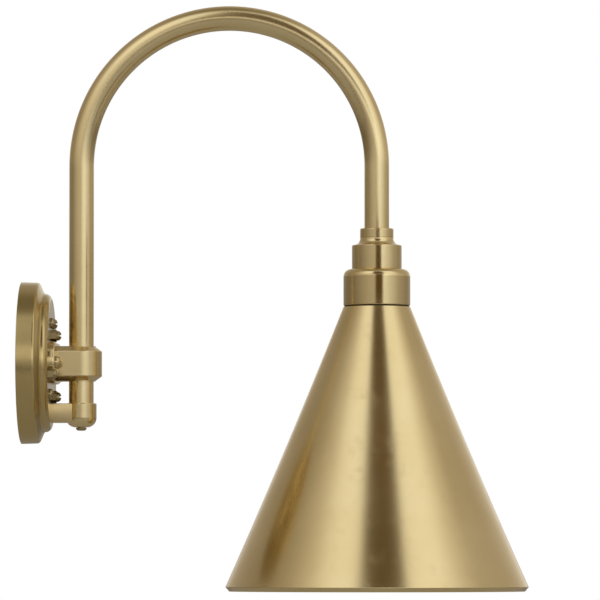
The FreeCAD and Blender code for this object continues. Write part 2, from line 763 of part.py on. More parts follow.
# ---------------------------------------------------------------- check and write
NODES = [
    mounting_plate, mounting_studs, ground_screw, backplate, stiffener_plate, plate_screws,
    cap_nuts, upper_bracket, flange_screws, upper_bush, lower_bush, stop_pin, wire_nipple,
    nipple_nut, supply_lead, lower_arm, lower_arm_bolt, thrust_washer,
    gooseneck_tube, foot_plug, pivot_screw, tube_collar, neck_cup, socket_cap, nose_bush,
    fitter_nipple, fitter_nut, socket_body, screw_shell, centre_contact, shade_ring, cone_shade,
    lamp_lead,
]
doc.recompute()
for item in doc.Objects:
    if "Invalid" in item.State or "Error" in item.State:
        raise RuntimeError("%s did not build: %s" % (item.Name, item.State))
for node in NODES:
    if node.Shape.isNull() or not node.Shape.isValid() or not node.Shape.Solids:
        raise RuntimeError("%s has no valid solid" % node.Label)

tube_run = size("arc_z - tube_foot") + size("arc_z - tube_nose") \
    + math.pi * size("(lamp_x - pivot_x) / 2")
tube_section = math.pi * (size("tube_radius") ** 2 - size(tube_bore) ** 2)
print("tube: volume %.0f, section times length %.0f, bend radius %.1f"
      % (gooseneck_tube.Shape.Volume, tube_run * tube_section, size("(lamp_x - pivot_x) / 2")))

os.makedirs("parts", exist_ok=True)
for node in NODES:
    node.Shape.exportStep("parts/%s.step" % node.Label)
    print("%-18s %d solid(s) %10.1f mm3" % (node.Label, len(node.Shape.Solids), node.Shape.Volume))
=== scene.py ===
"""Dresses the gooseneck wall sconce: satin brass surfaces round the fixed frame."""
import math

import bmesh
import bpy
import numpy as np
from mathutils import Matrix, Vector


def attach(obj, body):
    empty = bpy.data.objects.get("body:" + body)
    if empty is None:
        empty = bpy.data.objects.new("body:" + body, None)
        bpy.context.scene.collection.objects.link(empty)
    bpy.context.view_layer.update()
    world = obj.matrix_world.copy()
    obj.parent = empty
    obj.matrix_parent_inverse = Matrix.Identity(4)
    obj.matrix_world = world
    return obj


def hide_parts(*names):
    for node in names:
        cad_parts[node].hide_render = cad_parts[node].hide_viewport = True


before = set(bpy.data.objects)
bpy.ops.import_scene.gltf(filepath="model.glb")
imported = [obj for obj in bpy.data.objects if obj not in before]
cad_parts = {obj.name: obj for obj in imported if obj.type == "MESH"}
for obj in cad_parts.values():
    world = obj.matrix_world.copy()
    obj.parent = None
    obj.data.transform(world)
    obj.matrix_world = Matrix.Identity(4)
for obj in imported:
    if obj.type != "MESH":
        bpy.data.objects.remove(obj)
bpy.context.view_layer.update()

# ---------------------------------------------------------------- camera
# The photograph is taken from the side with a long lens, from just above the level of the
# shade's rim. The aim is the point of the lamp's own plane at the picture's middle.
SENSOR = 36.0
LENS = 344.7
FAR_CLIP = 100.0
CAMERA_PLACE = Vector((0.3589, -4.5, -0.1521))
CAMERA_AIM = Vector((0.2187, 0.0, 0.0493))
camera_data = bpy.data.cameras.new("studio_camera")
camera_data.sensor_width = SENSOR
camera_data.lens = LENS
camera_data.clip_end = FAR_CLIP
camera = bpy.data.objects.new("studio_camera", camera_data)
camera.location = CAMERA_PLACE
camera.rotation_euler = (CAMERA_AIM - CAMERA_PLACE).to_track_quat("-Z", "Y").to_euler()
bpy.context.scene.collection.objects.link(camera)
bpy.context.scene.camera = camera
bpy.context.scene.view_settings.view_transform = "Standard"


# ---------------------------------------------------------------- studio
# A tent of lit cloth stands round the lamp, bright beside the camera and dim at its sides, and
# two dark flags give the metal its dark band. The camera sees neither: to it the room is a
# plain white backdrop, with a pale floor far below.
class Socket:
    """One output in a node tree. Arithmetic on it adds Math nodes."""

    def __init__(self, paint, link):
        self.paint = paint
        self.link = link

    def math(self, operation, *others):
        return self.paint.node("ShaderNodeMath", {"operation": operation}, self, *others)

    def __add__(self, other):
        return self.math("ADD", other)

    def __radd__(self, other):
        return self.math("ADD", other)

    def __mul__(self, other):
        return self.math("MULTIPLY", other)

    def __rmul__(self, other):
        return self.math("MULTIPLY", other)

    def __sub__(self, other):
        return self.math("SUBTRACT", other)

    def __rsub__(self, other):
        return (self * -1.0) + other

    def step(self, low, high):
        """0 below low, 1 above high, smooth between them."""
        return self.paint.node("ShaderNodeMapRange", {"interpolation_type": "SMOOTHSTEP"},
                               self, low, high, 0.0, 1.0)


class Paint:
    """A node tree that is filled by calls: node(kind, settings, inputs...) gives a Socket."""

    def __init__(self, tree):
        self.tree = tree
        self.tree.nodes.clear()

    def node(self, kind, settings=None, *inputs, out=0, **named):
        """Adds a node, sets it up and fills its inputs by place or by name. None is left out."""
        made = self.tree.nodes.new(kind)
        for key, value in (settings or {}).items():
            setattr(made, key, value)
        for key, value in list(enumerate(inputs)) + list(named.items()):
            target = made.inputs[key if isinstance(key, int) else key.replace("_", " ")]
            if isinstance(value, Socket):
                self.tree.links.new(value.link, target)
            elif value is not None:
                target.default_value = value
        return Socket(self, made.outputs[out]) if made.outputs else None

    def object_place(self):
        """The place on the object, in metres."""
        return self.node("ShaderNodeTexCoord", out=3)

    def vector(self, x, y, z):
        return self.node("ShaderNodeCombineXYZ", None, x, y, z)

    def split(self, vector):
        """The three parts of a vector."""
        made = self.node("ShaderNodeSeparateXYZ", None, vector)
        return [Socket(self, port) for port in made.link.node.outputs]

    def mix(self, factor, first, second):
        """Colour first where factor is 0, second where it is 1."""
        other_kinds = [None] * 5
        return self.node("ShaderNodeMix", {"data_type": "RGBA"}, factor, *other_kinds, first, second,
                         out=2)


def new_material(name):
    """An empty material and the Paint that fills it."""
    material = bpy.data.materials.new(name)
    material.use_nodes = True
    return material, Paint(material.node_tree)


def staged(name, corners, faces, material):
    """A flat-sided studio object that isn't part of the lamp."""
    mesh = bpy.data.meshes.new(name)
    mesh.from_pydata(corners, [], faces)
    mesh.materials.append(material)
    thing = bpy.data.objects.new(name, mesh)
    bpy.context.scene.collection.objects.link(thing)
    return thing


WHITE = (1, 1, 1, 1)
world = bpy.data.worlds.new("white_backdrop")
world.use_nodes = True
bpy.context.scene.world = world
backdrop = Paint(world.node_tree)
backdrop.node("ShaderNodeOutputWorld", None,
              backdrop.node("ShaderNodeBackground", None, WHITE, 1.0))


def ramp(paint, factor, stops):
    """A colour ramp over a full turn. Each stop is (degrees, level), and low levels are warmer."""
    made = paint.node("ShaderNodeValToRGB", None, factor)
    elements = made.link.node.color_ramp.elements
    for index, (degrees, level) in enumerate(stops):
        place = degrees / 360 + 0.5
        element = elements[index] if index < 2 else elements.new(place)
        element.position = place
        element.color = (level, level * (0.83 + 0.16 * level), level * (0.62 + 0.35 * level), 1)
    return made


# Light levels of the tent's wall by compass turn from the camera's side, in degrees, right
# positive: at the lamp's own height, and 42 degrees above it.
LOW_LIGHT = [(-180, 0.95), (-155, 0.46), (-120, 0.31), (-85, 0.32), (-60, 0.48), (-40, 0.60),
             (-20, 0.70), (-4, 0.71), (14, 1.20), (28, 1.34), (46, 1.10), (84, 0.64), (125, 0.46),
             (150, 0.62), (180, 0.95)]
HIGH_LIGHT = [(-180, 0.46), (-146, 0.38), (-100, 0.36), (-80, 0.50), (-62, 0.72), (-48, 1.02),
              (-36, 1.12), (38, 1.12), (62, 1.14), (80, 0.80), (98, 0.50), (128, 0.50), (180, 0.46)]
CEILING = (0.24, 0.21, 0.16, 1)
UNDERSIDE = (0.13, 0.105, 0.07, 1)
TENT_HALF = 60.0
tent_cloth, cloth = new_material("light_tent")
ray = cloth.node("ShaderNodeVectorMath", {"operation": "NORMALIZE"}, cloth.object_place())
ahead_x, ahead_y, ahead_z = cloth.split(ray)
turn = ahead_x.math("ARCTAN2", ahead_y * -1.0) * (0.5 / math.pi) + 0.5
height = ahead_z.math("ARCSINE") * (180 / math.pi)
wall_light = cloth.mix(height.step(5.0, 42.0), ramp(cloth, turn, LOW_LIGHT),
                       ramp(cloth, turn, HIGH_LIGHT))
# The wall is dimmer at the lamp's own height, where the bracket and the fitter mirror it.
skirt = height.step(2.8, 4.4) * 0.62 + 0.53 - height.step(6.0, 14.0) * 0.15
wall_light = cloth.node("ShaderNodeVectorMath", {"operation": "SCALE"}, wall_light, Scale=skirt)
wall_light = cloth.mix(height.step(52.0, 80.0), wall_light, CEILING)
wall_light = cloth.mix((height * -1.0).step(0.0, 14.0), wall_light, UNDERSIDE)
cloth.node("ShaderNodeOutputMaterial", None,
           cloth.node("ShaderNodeEmission", None, wall_light, 1.0))
square = np.array([[-1, -1, 0], [1, -1, 0], [1, 1, 0], [-1, 1, 0]])
tent_corners = np.concatenate([square - [0, 0, 1], square + [0, 0, 1]]) * TENT_HALF
tent_faces = [(0, 1, 2, 3), (7, 6, 5, 4), (4, 5, 1, 0), (5, 6, 2, 1), (6, 7, 3, 2), (7, 4, 0, 3)]
tent = staged("light_tent", tent_corners.tolist(), tent_faces, tent_cloth)
tent.visible_camera = False
tent.visible_transmission = False


def flag(name, left, right, foot, top, away, soft, dark):
    """A dark upright card with soft edges: full dark once inside by soft, or soft / 3 at its ends."""
    material, paint = new_material(name)
    x, _, z = paint.split(paint.object_place())
    end_soft = soft / 3
    inside = x.step(left, left + soft) * (x * -1.0).step(-right, soft - right)
    inside = inside * z.step(foot, foot + end_soft) * (z * -1.0).step(-top, end_soft - top)
    clear = paint.node("ShaderNodeBsdfTransparent")
    level = paint.node("ShaderNodeEmission", None, dark, 1.0)
    paint.node("ShaderNodeOutputMaterial", None,
               paint.node("ShaderNodeMixShader", None, inside, clear, level))
    corners = [(left, away, foot), (right, away, foot), (right, away, top), (left, away, top)]
    card = staged(name, corners, [(0, 1, 2, 3)], material)
    card.visible_camera = False
    card.visible_shadow = False
    card.visible_diffuse = False


flag("shade_flag", left=-0.18, right=1.07, foot=0.50, top=2.6, away=-1.3, soft=0.27,
     dark=(0.108, 0.074, 0.032, 1))
flag("fitter_flag", left=0.258, right=0.362, foot=0.034, top=0.130, away=-0.2, soft=0.018,
     dark=(0.105, 0.058, 0.010, 1))

FLOOR_HEIGHT = -12.0
FLOOR_HALF = 55.0
FLOOR_GREY = (0.55, 0.54, 0.52, 1)
floor_paint, tray = new_material("pale_floor")
sight = tray.node("ShaderNodeLightPath").link.node.outputs
seen = Socket(tray, sight["Is Camera Ray"])
through = Socket(tray, sight["Is Transmission Ray"])
matt = tray.node("ShaderNodeBsdfDiffuse", None, FLOOR_GREY)
glow = tray.node("ShaderNodeEmission", None, WHITE, 1.0)
tray.node("ShaderNodeOutputMaterial", None,
          tray.node("ShaderNodeMixShader", None, seen.math("MAXIMUM", through), matt, glow))
floor_corners = square * FLOOR_HALF + [0, 0, FLOOR_HEIGHT]
staged("floor", floor_corners.tolist(), [(0, 1, 2, 3)], floor_paint)

# ---------------------------------------------------------------- backplate
# A stepped round cover of spun brass, open at the back, satin finished on the lathe, so that
# its fine lines run round the axis. Its outline is turned about X.
MM = 0.001
SHARP_FROM = math.radians(28)
PLATE_RADIUS = 63.5
PLATE_WALL = 2.2
PLATE_HEIGHT = 23.8
BAND_RADIUS = 63.1
BAND_HEIGHT = 14.1
TIER_RADIUS = 54.3
TIER_FOOT = 18.3
LIP_RADIUS = 55.7
LIP_HEIGHT = 17.3
INNER_TIER_FOOT = 16.2
INNER_BAND_HEIGHT = 11.8


def rounded(corners, closed=True, steps=7, guard=0.12):
    """Points of an outline: each corner (a, b, radius) with a radius becomes a tangent arc.

    The arc's middle lies on the line that halves the corner, and its points swing evenly
    about it. A guard point on each side keeps the flats beside an arc flat when shaded.
    """
    count = len(corners)
    points = []
    for index, corner in enumerate(corners):
        here = np.array(corner[:2], float)
        radius = corner[2] if len(corner) > 2 else 0.0
        ends = not closed and index in (0, count - 1)
        if radius == 0.0 or ends:
            points.append(here)
            continue
        back = np.array(corners[index - 1][:2], float) - here
        fore = np.array(corners[(index + 1) % count][:2], float) - here
        back_long, fore_long = np.linalg.norm(back), np.linalg.norm(fore)
        back, fore = back / back_long, fore / fore_long
        half = math.acos(np.clip(back @ fore, -1, 1)) / 2
        reach = radius / math.tan(half)
        middle = here + (back + fore) / np.linalg.norm(back + fore) * radius / math.sin(half)
        start, end = here + back * reach - middle, here + fore * reach - middle
        sweep = math.pi - 2 * half
        along = np.linspace(0, 1, steps + 1)[:, None]
        arc = (np.sin((1 - along) * sweep) * start + np.sin(along * sweep) * end) / math.sin(sweep)
        if reach + guard < back_long / 2:
            points.append(here + back * (reach + guard))
        points.extend(middle + arc)
        if reach + guard < fore_long / 2:
            points.append(here + fore * (reach + guard))
    return np.array(points)


def skin(name, grid, rows_closed):
    """A mesh over a (rows, columns, 3) grid in millimetres. Columns wrap, rows where closed.

    Four neighbours of the grid make a face. The chart "surface" holds the share of the way
    round, and the mean distance down the rows in metres.
    """
    rows, columns = grid.shape[:2]
    number = np.arange(rows * columns).reshape(rows, columns)
    if rows_closed:
        number = np.vstack([number, number[:1]])
    near, far = number, np.roll(number, -1, axis=1)
    faces = np.stack([near[:-1], far[:-1], far[1:], near[1:]], axis=-1).reshape(-1, 4)
    mesh = bpy.data.meshes.new(name)
    mesh.from_pydata((grid.reshape(-1, 3) * MM).tolist(), [], faces.tolist())
    steps_down = np.linalg.norm(np.diff(grid, axis=0), axis=2).mean(axis=1)
    down = np.concatenate([[0.0], np.cumsum(steps_down), [steps_down.sum() + 1]]) * MM
    across = np.arange(columns + 1) / columns
    chart = mesh.uv_layers.new(name="surface")
    row = np.repeat(np.arange(len(number) - 1), columns)
    column = np.tile(np.arange(columns), len(number) - 1)
    corner_row = np.stack([row, row, row + 1, row + 1], axis=1).ravel()
    corner_column = np.stack([column, column + 1, column + 1, column], axis=1).ravel()
    pairs = np.stack([across[corner_column], down[corner_row]], axis=1)
    chart.data.foreach_set("uv", pairs.ravel())
    shape = bmesh.new()
    shape.from_mesh(mesh)
    bmesh.ops.remove_doubles(shape, verts=shape.verts, dist=1e-7)
    bmesh.ops.dissolve_degenerate(shape, edges=shape.edges, dist=1e-8)
    bmesh.ops.recalc_face_normals(shape, faces=shape.faces)
    shape.to_mesh(mesh)
    shape.free()
    mesh.shade_smooth()
    mesh.set_sharp_from_angle(angle=SHARP_FROM)
    piece = bpy.data.objects.new(name, mesh)
    bpy.context.scene.collection.objects.link(piece)
    return piece


def lathe(name, outline, middle=(0.0, 0.0, 0.0), along="z", around=160, closed=True):
    """An outline of (radius, height) points carried round an axis through middle."""
    angle = np.linspace(0, 2 * math.pi, around, endpoint=False)[None, :]
    radius, rise = outline[:, :1], outline[:, 1:]
    side, front = radius * np.cos(angle), radius * np.sin(angle)
    rise = np.repeat(rise, around, axis=1)
    axes = (side, front, rise) if along == "z" else (rise, side, front)
    return skin(name, np.stack(axes, axis=-1) + np.array(middle), closed)


def lit(colour, light, green=1.0, blue=1.0):
    """A colour dimmed as a whole, and in its green and blue."""
    return colour[0] * light, colour[1] * light * green, colour[2] * light * blue, 1


WARM_BRASS = (0.690, 0.540, 0.272)
PALE_BRASS = (0.755, 0.612, 0.338)
HANDLED_BRASS = (0.50, 0.37, 0.17)


def satin_brass(name, middle=(0.0, 0.0, 0.0), along="z", light=1.0, rough=0.29, lines=0.45,
                green=1.0, blue=1.0):
    """Satin brass with fine turned lines round an axis, slow tone drift and faint handling marks.

    The lines are noise over (distance from the axis, height); they are nearly the same all the
    way round and move roughness, tone and a slight bump. Grains are in lines per metre.
    """
    line_grain, band_grain, drift = 900.0, 160.0, 14.0
    material, paint = new_material(name)
    place = paint.object_place()
    off = paint.node("ShaderNodeVectorMath", {"operation": "SUBTRACT"}, place, Vector(middle) * MM)
    x, y, z = paint.split(off)
    if along == "x":
        x, y, z = y, z, x
    away = (x * x + y * y).math("SQRT")
    line_place = paint.vector(away * line_grain + x * drift, y * drift, z * line_grain)
    line = paint.node("ShaderNodeTexNoise", None, line_place, Scale=1.0, Detail=3.0, Roughness=0.6)
    band_place = paint.vector(away * band_grain + x * drift, y * drift, z * band_grain)
    band = paint.node("ShaderNodeTexNoise", None, band_place, Scale=1.0, Detail=2.0)
    cloud = paint.node("ShaderNodeTexNoise", None, place, Scale=17.0, Detail=3.0, Roughness=0.55)
    smudge = paint.node("ShaderNodeTexNoise", None, place, Scale=60.0, Detail=4.0,
                        Roughness=0.65).step(0.52, 0.74)
    tone = cloud.step(0.3, 0.7) * 0.6 + line * 0.2 + band * 0.2
    colour = paint.mix(tone, lit(WARM_BRASS, light, green, blue),
                       lit(PALE_BRASS, light, green, blue))
    colour = paint.mix(smudge * 0.10, colour, lit(HANDLED_BRASS, light))
    roughness = (line - 0.5) * (0.16 * lines) + (cloud - 0.5) * 0.08 + smudge * 0.05 + rough
    relief = paint.node("ShaderNodeBump", None, Strength=0.35 * lines, Distance=0.02 * MM,
                        Height=line * 0.7 + band * 0.3)
    brass = paint.node("ShaderNodeBsdfPrincipled", None, Base_Color=colour, Metallic=1.0,
                       Roughness=roughness, Normal=relief)
    paint.node("ShaderNodeOutputMaterial", None, brass)
    return material


def finish(piece, material, body, slot, *nodes):
    """Gives a piece its material and body, and hides the nodes that it stands for."""
    piece.data.materials.clear()
    piece.data.materials.append(material)
    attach(piece, body)
    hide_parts(*nodes)


plate_outline = rounded([
    (0, PLATE_HEIGHT - PLATE_WALL), (TIER_RADIUS - PLATE_WALL, PLATE_HEIGHT - PLATE_WALL),
    (TIER_RADIUS - PLATE_WALL, INNER_TIER_FOOT), (BAND_RADIUS - PLATE_WALL, INNER_BAND_HEIGHT),
    (PLATE_RADIUS - PLATE_WALL, 0), (PLATE_RADIUS, 0, 0.4), (BAND_RADIUS, BAND_HEIGHT, 2.6),
    (LIP_RADIUS, LIP_HEIGHT, 0.7), (TIER_RADIUS, TIER_FOOT, 0.9), (TIER_RADIUS, PLATE_HEIGHT, 5.0),
    (0, PLATE_HEIGHT),
], closed=False, steps=12)
backplate = lathe("backplate_cover", plate_outline, along="x", around=256, closed=False)
# The backplate's brass is the same brass dimmed to 0.73 and warmed as painted shade.
plate_brass = satin_brass("plate_brass", along="x", light=0.73, rough=0.22, lines=0.25,
                          green=0.97, blue=0.82)
finish(backplate, plate_brass, "wall_bracket", "satin_brass", "backplate")

# ---------------------------------------------------------------- upper bracket
# A cast and milled block: an oblong flange with round ends on the backplate, and a block whose
# straight sides run out to a full round end about the tube, with broad bevels above and below.
PIVOT_X = 47.0
FLANGE_FRONT = 28.3
FLANGE_HALF_WIDTH = 36.0
FLANGE_HALF_HEIGHT = 16.2
FLANGE_CORNER = 15.5
FLANGE_EDGE = 1.3
FLANGE_MARGIN = 6.0
BLOCK_RADIUS = 16.2
BLOCK_BORE = 11.3
BLOCK_BACK = FLANGE_FRONT - 0.3
BLOCK_BOTTOM = -14.4
BLOCK_TOP = 13.0
BEVEL_IN = 5.5
BEVEL_UP = 3.9


def oblong(half_wide, half_high, corner, steps=14):
    """The outline of a rectangle with round corners, and its outward directions."""
    turns = np.linspace(0, math.pi / 2, steps)
    quarter = np.concatenate([turns + math.pi / 2 * k for k in range(4)])
    out = np.stack([np.cos(quarter), np.sin(quarter)], axis=1)
    signs = np.repeat(np.array([[1, 1], [-1, 1], [-1, -1], [1, -1]]), steps, axis=0)
    middle = signs * np.array([half_wide - corner, half_high - corner])
    return middle + out * corner, out


flange_loop, flange_out = oblong(FLANGE_HALF_WIDTH, FLANGE_HALF_HEIGHT, FLANGE_CORNER)
flange_side = rounded([(0.0, PLATE_HEIGHT), (0.0, FLANGE_FRONT, FLANGE_EDGE),
                       (FLANGE_MARGIN, FLANGE_FRONT)], closed=False)
flange_middle = np.zeros((len(flange_loop), 3))
flange_rows = [flange_middle + [PLATE_HEIGHT, 0, 0]]
for inset, reach in flange_side:
    ring = flange_loop - flange_out * inset
    flange_rows.append(np.column_stack([np.full(len(ring), reach), ring]))
flange_rows.append(flange_middle + [FLANGE_FRONT, 0, 0])
flange = skin("bracket_flange", np.array(flange_rows), False)
bracket_brass = satin_brass("bracket_brass", (PIVOT_X, 0, 0), rough=0.19, lines=0.25)
finish(flange, bracket_brass, "wall_bracket", "satin_brass", "upper_bracket")

side_steps = 7
half_turn = np.linspace(-math.pi / 2, math.pi / 2, 49)
end_out = np.stack([np.cos(half_turn), np.sin(half_turn)], axis=1)
end_loop = end_out * BLOCK_RADIUS + [PIVOT_X, 0]
side_reach = np.linspace(BLOCK_BACK, PIVOT_X, side_steps + 1)[:-1]
near_side = np.stack([side_reach, np.full(side_steps, -BLOCK_RADIUS)], axis=1)
far_side = near_side[::-1] * [1, -1]
block_loop = np.concatenate([near_side, end_loop, far_side])
block_out = np.concatenate([np.tile([0, -1], (side_steps, 1)), end_out,
                            np.tile([0, 1], (side_steps, 1))])
BEVEL_MARGIN = BEVEL_IN + 1.5
block_side = rounded([
    (BEVEL_MARGIN, BLOCK_BOTTOM), (BEVEL_IN, BLOCK_BOTTOM, 0.6), (0, BLOCK_BOTTOM + BEVEL_UP, 0.8),
    (0, BLOCK_TOP - BEVEL_UP, 0.8), (BEVEL_IN, BLOCK_TOP, 0.6), (BEVEL_MARGIN, BLOCK_TOP),
], closed=False, steps=5)[1:-1]
from_axis = block_loop - [PIVOT_X, 0]
toward = from_axis / np.linalg.norm(from_axis, axis=1, keepdims=True)
bore_loop = toward * BLOCK_BORE + [PIVOT_X, 0]
block_rows = [np.column_stack([bore_loop, np.full(len(bore_loop), BLOCK_BOTTOM)])]
for inset, rise in block_side:
    ring = block_loop - block_out * inset
    block_rows.append(np.column_stack([ring, np.full(len(ring), rise)]))
block_rows.append(np.column_stack([bore_loop, np.full(len(bore_loop), BLOCK_TOP)]))
bracket_block = skin("bracket_block", np.array(block_rows), True)
finish(bracket_block, bracket_brass, "wall_bracket", "satin_brass", "upper_bracket")

# ---------------------------------------------------------------- lower arm
# A milled bar from the backplate to a turned cup, in which the tube's foot stands and turns.
# The bar is let into the cup's wall and brazed.
CUP_RADIUS = 12.0
CUP_TOP = -31.6
CUP_FLOOR = -50.5
CUP_BORE = 9.83
CUP_SEAT = -46.0
SCREW_HOLE = 3.05
BAR_Z = -39.4
BAR_HALF_WIDTH = 10.0
BAR_HALF_HEIGHT = 7.5
BAR_EDGE = 0.6
BAR_END_RADIUS = 11.0
cup_outline = rounded([
    (SCREW_HOLE, CUP_FLOOR), (CUP_RADIUS, CUP_FLOOR, 7.5), (CUP_RADIUS, CUP_TOP, 0.8),
    (CUP_BORE, CUP_TOP), (CUP_BORE, CUP_SEAT), (SCREW_HOLE, CUP_SEAT),
], steps=10)
pivot_cup = lathe("pivot_cup", cup_outline, (PIVOT_X, 0, 0))
finish(pivot_cup, bracket_brass, "wall_bracket", "satin_brass", "lower_arm")


def bar_end(ring):
    """Each point of the ring, carried along X until it meets a cylinder inside the cup's wall."""
    return np.column_stack([PIVOT_X - np.sqrt(BAR_END_RADIUS ** 2 - ring[:, 0] ** 2), ring])


bar_middle = np.array([0, BAR_Z])
bar_outline, _ = oblong(BAR_HALF_WIDTH, BAR_HALF_HEIGHT, BAR_EDGE, steps=6)
bar_loop = bar_outline + bar_middle
bar_rows = [np.tile([PLATE_HEIGHT + 0.2, 0, BAR_Z], (len(bar_loop), 1)),
            np.column_stack([np.full(len(bar_loop), PLATE_HEIGHT), bar_loop])]
bar_rows += [bar_end(bar_middle + bar_outline * share) for share in (1.0, 0.6, 0.0)]
arm_bar = skin("lower_arm_bar", np.array(bar_rows), False)
finish(arm_bar, bracket_brass, "wall_bracket", "satin_brass", "lower_arm")

# ---------------------------------------------------------------- gooseneck tube
# Drawn brass tube, bent to a half circle and polished along its length before it was lacquered.
# Its foot stands in the cup and its nose in the fitter.
LAMP_X = 279.0
TUBE_RADIUS = 9.7
TUBE_BORE = 8.5
TUBE_FOOT = -45.0
TUBE_NOSE = 80.0
ARC_Z = 155.0
BEND = (LAMP_X - PIVOT_X) / 2
TUBE_PALE = (0.800, 0.652, 0.368, 1)
TUBE_WARM = (0.730, 0.578, 0.300, 1)


def tube_rows(radius, up_steps=40, bend_steps=144, down_steps=16, around=64):
    """Rings of one radius square to the line: straight up, a half circle, straight down."""
    up = np.linspace(TUBE_FOOT, ARC_Z, up_steps + 1)[:-1]
    swing = np.linspace(math.pi, 0, bend_steps + 1)
    down = np.linspace(ARC_Z, TUBE_NOSE, down_steps + 1)[1:]
    line_x = np.concatenate([np.full(up_steps, PIVOT_X), PIVOT_X + BEND * (1 + np.cos(swing)),
                             np.full(down_steps, LAMP_X)])
    line_z = np.concatenate([up, ARC_Z + BEND * np.sin(swing), down])
    aim = np.concatenate([np.full(up_steps, math.pi), swing, np.zeros(down_steps)])
    angle = np.linspace(0, 2 * math.pi, around, endpoint=False)[None, :]
    out_x, out_z = np.cos(aim)[:, None], np.sin(aim)[:, None]
    x = line_x[:, None] + radius * np.cos(angle) * out_x
    y = radius * np.sin(angle) + 0 * out_x
    z = line_z[:, None] + radius * np.cos(angle) * out_z
    return np.stack([x, y, z], axis=-1)


def drawn_brass(name):
    """Satin brass with long fine lines, as noise over the chart: a ring round the tube by length."""
    material, paint = new_material(name)
    across, along, _ = paint.split(paint.node("ShaderNodeUVMap", {"uv_map": "surface"}))
    around = across * (2 * math.pi)
    ring_x, ring_y = around.math("COSINE"), around.math("SINE")
    line = paint.node("ShaderNodeTexNoise", None,
                      paint.vector(ring_x * 24.0, ring_y * 24.0, along * 18.0),
                      Scale=1.0, Detail=2.0, Roughness=0.5)
    cross = paint.node("ShaderNodeTexNoise", None,
                       paint.vector(ring_x * 2.0, ring_y * 2.0, along * 900.0),
                       Scale=1.0, Detail=2.0)
    cloud = paint.node("ShaderNodeTexNoise", None, paint.object_place(), Scale=22.0, Detail=3.0)
    colour = paint.mix(cloud.step(0.3, 0.7) * 0.6 + line * 0.4, TUBE_WARM, TUBE_PALE)
    roughness = (line - 0.5) * 0.08 + (cross - 0.5) * 0.02 + (cloud - 0.5) * 0.05 + 0.23
    relief = paint.node("ShaderNodeBump", None, Strength=0.05, Distance=0.02 * MM,
                        Height=line * 0.96 + cross * 0.04)
    brass = paint.node("ShaderNodeBsdfPrincipled", None, Base_Color=colour, Metallic=1.0,
                       Roughness=roughness, Normal=relief)
    paint.node("ShaderNodeOutputMaterial", None, brass)
    return material


tube_grid = np.concatenate([tube_rows(TUBE_RADIUS), tube_rows(TUBE_BORE)[::-1]])
gooseneck = skin("gooseneck", tube_grid, True)
finish(gooseneck, drawn_brass("tube_brass"), "arm", "satin_brass", "gooseneck_tube")

# ---------------------------------------------------------------- fitter
# Three turned steps between the tube and the shade: a collar on the tube, a neck with a coved
# shoulder, and the round-shouldered cap that holds the lampholder. A dark ring stands in the
# seam between the cap and its lower band: painted shadow of the groove there.
LAMP_AXIS = (LAMP_X, 0, 0)
TUBE_HOLE = 9.8
ROD_HOLE = 4.05
COLLAR_RADIUS = 13.1
COLLAR_TOP = 105.3
COLLAR_BOTTOM = 98.2
NECK_RADIUS = 19.5
NECK_SHELF = 92.2
NECK_COVE = 5.4
NECK_BOTTOM = 73.4
CAP_RADIUS = 26.2
CAP_ROUND = 5.8
CAP_WALL = 1.5
CAP_ROOF = 3.0
CAP_BOTTOM = 43.7
SEAM_TOP = 44.8
SEAM_DEPTH = 0.9
turned_brass = satin_brass("fitter_brass", LAMP_AXIS, rough=0.17, lines=0.2)
collar = lathe("fitter_collar", rounded([
    (TUBE_HOLE, COLLAR_BOTTOM), (COLLAR_RADIUS, COLLAR_BOTTOM, 0.2),
    (COLLAR_RADIUS, COLLAR_TOP, 0.9), (TUBE_HOLE, COLLAR_TOP),
]), LAMP_AXIS)
finish(collar, turned_brass, "arm", "satin_brass", "tube_collar")
neck = lathe("fitter_neck", rounded([
    (ROD_HOLE, NECK_BOTTOM), (NECK_RADIUS, NECK_BOTTOM, 0.3), (NECK_RADIUS, NECK_SHELF, 0.8),
    (COLLAR_RADIUS, NECK_SHELF, NECK_COVE), (COLLAR_RADIUS, COLLAR_BOTTOM),
    (TUBE_HOLE, COLLAR_BOTTOM), (TUBE_HOLE, TUBE_NOSE), (ROD_HOLE, TUBE_NOSE),
], steps=14), LAMP_AXIS)
finish(neck, turned_brass, "arm", "satin_brass", "neck_cup")
cap_inner = CAP_RADIUS - CAP_WALL
cap_band = CAP_RADIUS - SEAM_DEPTH
cap_ceiling = NECK_BOTTOM - CAP_ROOF
cap = lathe("fitter_cap", rounded([
    (ROD_HOLE, cap_ceiling), (cap_inner - CAP_ROUND, cap_ceiling),
    (cap_inner, cap_ceiling - CAP_ROUND), (cap_inner, CAP_BOTTOM), (cap_band, CAP_BOTTOM),
    (cap_band, SEAM_TOP, 0.1), (CAP_RADIUS, SEAM_TOP, 0.6), (CAP_RADIUS, NECK_BOTTOM, CAP_ROUND),
    (ROD_HOLE, NECK_BOTTOM),
], steps=12), LAMP_AXIS)
finish(cap, turned_brass, "arm", "satin_brass", "socket_cap")
seam_inner, seam_outer, seam_gap = cap_band - 0.4, cap_band + 0.2, 0.08
seam = lathe("cap_seam", np.array([
    (seam_inner, CAP_BOTTOM + seam_gap), (seam_outer, CAP_BOTTOM + seam_gap),
    (seam_outer, SEAM_TOP - seam_gap), (seam_inner, SEAM_TOP - seam_gap),
]), LAMP_AXIS)
# The seam ring's brass is dimmed to a tenth: a dark sheet standing in as painted shadow.
seam_painted_shadow = satin_brass("seam_painted_shadow", LAMP_AXIS, light=0.10, rough=0.6, lines=0.2)
finish(seam, seam_painted_shadow, "arm", "dark_brass", "socket_cap")

